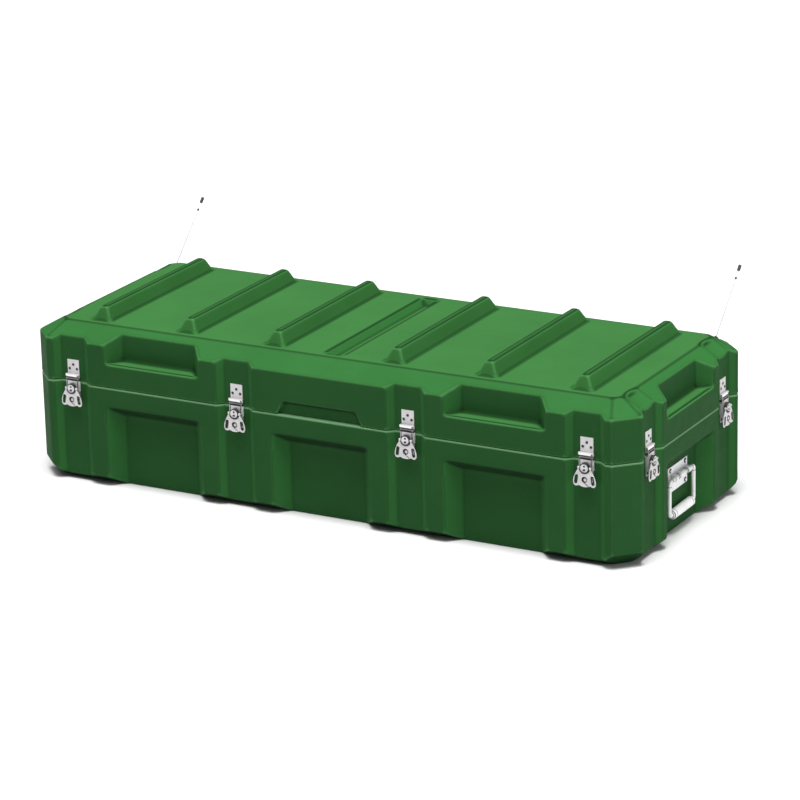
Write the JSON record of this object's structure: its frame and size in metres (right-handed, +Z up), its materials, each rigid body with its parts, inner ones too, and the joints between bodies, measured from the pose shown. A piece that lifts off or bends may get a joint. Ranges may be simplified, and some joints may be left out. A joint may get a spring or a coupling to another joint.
{
  "type": "hard equipment case",
  "caption": "Long green moulded transit case with a ribbed hinged lid, recessed rotary draw latches and a drop handle on each end.",
  "frame": {"origin": "middle of the case's footprint, on the surface it stands on", "axes": "+X along the length to the right, -Y is the latched front, +Z up"},
  "size_m": [1.2562, 0.5721, 0.407],
  "materials": {
    "green_shell": "moulded, fine grain",
    "gasket_rubber": "matte",
    "zinc_sheet": "zinc plated, satin",
    "rivet_steel": "satin",
    "handle_steel": "zinc plated, bright",
    "bolt_steel": "dark",
    "spring_steel": "bright",
    "grip_plastic": "smooth",
    "black_fitting": "matte",
    "rod_steel": "bright",
    "cam_steel": "zinc plated"
  },
  "bodies": {
    "base": {"base_shell": "green_shell", "latch_plates": "zinc_sheet", "latch_plate_rivets": "rivet_steel", "hinge_base_leaves": "zinc_sheet", "hinge_pins": "rivet_steel", "hinge_base_rivets": "rivet_steel", "handle_plates": "handle_steel", "handle_bolts": "bolt_steel", "handle_springs": "spring_steel"},
    "lid": {"lid_shell": "green_shell", "gasket": "gasket_rubber", "keepers": "zinc_sheet", "keeper_rivets": "rivet_steel", "hinge_lid_leaves": "zinc_sheet", "hinge_lid_rivets": "rivet_steel", "rod_sockets": "black_fitting", "corner_rods": "rod_steel", "rod_stops": "black_fitting", "rod_caps": "black_fitting"},
    "handle_left": {"bail_left": "handle_steel", "grip_left": "grip_plastic"},
    "handle_right": {"bail_right": "handle_steel", "grip_right": "grip_plastic"},
    "link_front_1": {"draw_link_front_1": "zinc_sheet"},
    "cam_front_1": {"cam_front_1": "cam_steel"},
    "wing_front_1": {"wing_front_1": "zinc_sheet"},
    "link_front_2": {"draw_link_front_2": "zinc_sheet"},
    "cam_front_2": {"cam_front_2": "cam_steel"},
    "wing_front_2": {"wing_front_2": "zinc_sheet"},
    "link_front_3": {"draw_link_front_3": "zinc_sheet"},
    "cam_front_3": {"cam_front_3": "cam_steel"},
    "wing_front_3": {"wing_front_3": "zinc_sheet"},
    "link_front_4": {"draw_link_front_4": "zinc_sheet"},
    "cam_front_4": {"cam_front_4": "cam_steel"},
    "wing_front_4": {"wing_front_4": "zinc_sheet"},
    "link_right_1": {"draw_link_right_1": "zinc_sheet"},
    "cam_right_1": {"cam_right_1": "cam_steel"},
    "wing_right_1": {"wing_right_1": "zinc_sheet"},
    "link_right_2": {"draw_link_right_2": "zinc_sheet"},
    "cam_right_2": {"cam_right_2": "cam_steel"},
    "wing_right_2": {"wing_right_2": "zinc_sheet"},
    "link_left_1": {"draw_link_left_1": "zinc_sheet"},
    "cam_left_1": {"cam_left_1": "cam_steel"},
    "wing_left_1": {"wing_left_1": "zinc_sheet"},
    "link_left_2": {"draw_link_left_2": "zinc_sheet"},
    "cam_left_2": {"cam_left_2": "cam_steel"},
    "wing_left_2": {"wing_left_2": "zinc_sheet"}
  },
  "joints": [
    {"name": "lid_hinge", "type": "hinge", "parent": "base", "child": "lid", "pos_m": [0, 0.252, 0.19625], "axis": [-1, 0, 0], "range_deg": [0, 105]},
    {"name": "handle_left_swing", "type": "hinge", "parent": "base", "child": "handle_left", "pos_m": [-0.6055, 0, 0.104], "axis": [0, 1, 0], "range_deg": [0, 90], "stiffness_Nm_per_rad": 0.05},
    {"name": "handle_right_swing", "type": "hinge", "parent": "base", "child": "handle_right", "pos_m": [0.6055, 0, 0.104], "axis": [0, -1, 0], "range_deg": [0, 90], "stiffness_Nm_per_rad": 0.05},
    {"name": "cam_turn_front_1", "type": "hinge", "parent": "base", "child": "cam_front_1", "pos_m": [-0.533, -0.237, 0.184], "axis": [0, -1, 0], "range_deg": [0, 180]},
    {"name": "wing_fold_front_1", "type": "hinge", "parent": "cam_front_1", "child": "wing_front_1", "pos_m": [-0.533, -0.2487, 0.184], "axis": [-1, 0, 0], "range_deg": [0, 90]},
    {"name": "link_lift_front_1", "type": "slide", "parent": "base", "child": "link_front_1", "axis": [0, 0, 1], "range_m": [0, 0.006]},
    {"name": "cam_turn_front_2", "type": "hinge", "parent": "base", "child": "cam_front_2", "pos_m": [-0.178, -0.237, 0.184], "axis": [0, -1, 0], "range_deg": [0, 180]},
    {"name": "wing_fold_front_2", "type": "hinge", "parent": "cam_front_2", "child": "wing_front_2", "pos_m": [-0.178, -0.2487, 0.184], "axis": [-1, 0, 0], "range_deg": [0, 90]},
    {"name": "link_lift_front_2", "type": "slide", "parent": "base", "child": "link_front_2", "axis": [0, 0, 1], "range_m": [0, 0.006]},
    {"name": "cam_turn_front_3", "type": "hinge", "parent": "base", "child": "cam_front_3", "pos_m": [0.178, -0.237, 0.184], "axis": [0, -1, 0], "range_deg": [0, 180]},
    {"name": "wing_fold_front_3", "type": "hinge", "parent": "cam_front_3", "child": "wing_front_3", "pos_m": [0.178, -0.2487, 0.184], "axis": [-1, 0, 0], "range_deg": [0, 90]},
    {"name": "link_lift_front_3", "type": "slide", "parent": "base", "child": "link_front_3", "axis": [0, 0, 1], "range_m": [0, 0.006]},
    {"name": "cam_turn_front_4", "type": "hinge", "parent": "base", "child": "cam_front_4", "pos_m": [0.533, -0.237, 0.184], "axis": [0, -1, 0], "range_deg": [0, 180]},
    {"name": "wing_fold_front_4", "type": "hinge", "parent": "cam_front_4", "child": "wing_front_4", "pos_m": [0.533, -0.2487, 0.184], "axis": [-1, 0, 0], "range_deg": [0, 90]},
    {"name": "link_lift_front_4", "type": "slide", "parent": "base", "child": "link_front_4", "axis": [0, 0, 1], "range_m": [0, 0.006]},
    {"name": "cam_turn_right_1", "type": "hinge", "parent": "base", "child": "cam_right_1", "pos_m": [0.614, -0.16, 0.184], "axis": [1, 0, 0], "range_deg": [0, 180]},
    {"name": "wing_fold_right_1", "type": "hinge", "parent": "cam_right_1", "child": "wing_right_1", "pos_m": [0.6257, -0.16, 0.184], "axis": [0, -1, 0], "range_deg": [0, 90]},
    {"name": "link_lift_right_1", "type": "slide", "parent": "base", "child": "link_right_1", "axis": [0, 0, 1], "range_m": [0, 0.006]},
    {"name": "cam_turn_right_2", "type": "hinge", "parent": "base", "child": "cam_right_2", "pos_m": [0.614, 0.16, 0.184], "axis": [1, 0, 0], "range_deg": [0, 180]},
    {"name": "wing_fold_right_2", "type": "hinge", "parent": "cam_right_2", "child": "wing_right_2", "pos_m": [0.6257, 0.16, 0.184], "axis": [0, -1, 0], "range_deg": [0, 90]},
    {"name": "link_lift_right_2", "type": "slide", "parent": "base", "child": "link_right_2", "axis": [0, 0, 1], "range_m": [0, 0.006]},
    {"name": "cam_turn_left_1", "type": "hinge", "parent": "base", "child": "cam_left_1", "pos_m": [-0.614, -0.16, 0.184], "axis": [-1, 0, 0], "range_deg": [0, 180]},
    {"name": "wing_fold_left_1", "type": "hinge", "parent": "cam_left_1", "child": "wing_left_1", "pos_m": [-0.6257, -0.16, 0.184], "axis": [0, 1, 0], "range_deg": [0, 90]},
    {"name": "link_lift_left_1", "type": "slide", "parent": "base", "child": "link_left_1", "axis": [0, 0, 1], "range_m": [0, 0.006]},
    {"name": "cam_turn_left_2", "type": "hinge", "parent": "base", "child": "cam_left_2", "pos_m": [-0.614, 0.16, 0.184], "axis": [-1, 0, 0], "range_deg": [0, 180]},
    {"name": "wing_fold_left_2", "type": "hinge", "parent": "cam_left_2", "child": "wing_left_2", "pos_m": [-0.6257, 0.16, 0.184], "axis": [0, 1, 0], "range_deg": [0, 90]},
    {"name": "link_lift_left_2", "type": "slide", "parent": "base", "child": "link_left_2", "axis": [0, 0, 1], "range_m": [0, 0.006]}
  ],
  "couplings": [
    {"joint": "cam_turn_front_1", "follows": "link_lift_front_1", "rad_per_m": 523.5},
    {"joint": "cam_turn_front_2", "follows": "link_lift_front_2", "rad_per_m": 523.5},
    {"joint": "cam_turn_front_3", "follows": "link_lift_front_3", "rad_per_m": 523.5},
    {"joint": "cam_turn_front_4", "follows": "link_lift_front_4", "rad_per_m": 523.5},
    {"joint": "cam_turn_right_1", "follows": "link_lift_right_1", "rad_per_m": 523.5},
    {"joint": "cam_turn_right_2", "follows": "link_lift_right_2", "rad_per_m": 523.5},
    {"joint": "cam_turn_left_1", "follows": "link_lift_left_1", "rad_per_m": 523.5},
    {"joint": "cam_turn_left_2", "follows": "link_lift_left_2", "rad_per_m": 523.5}
  ]
}
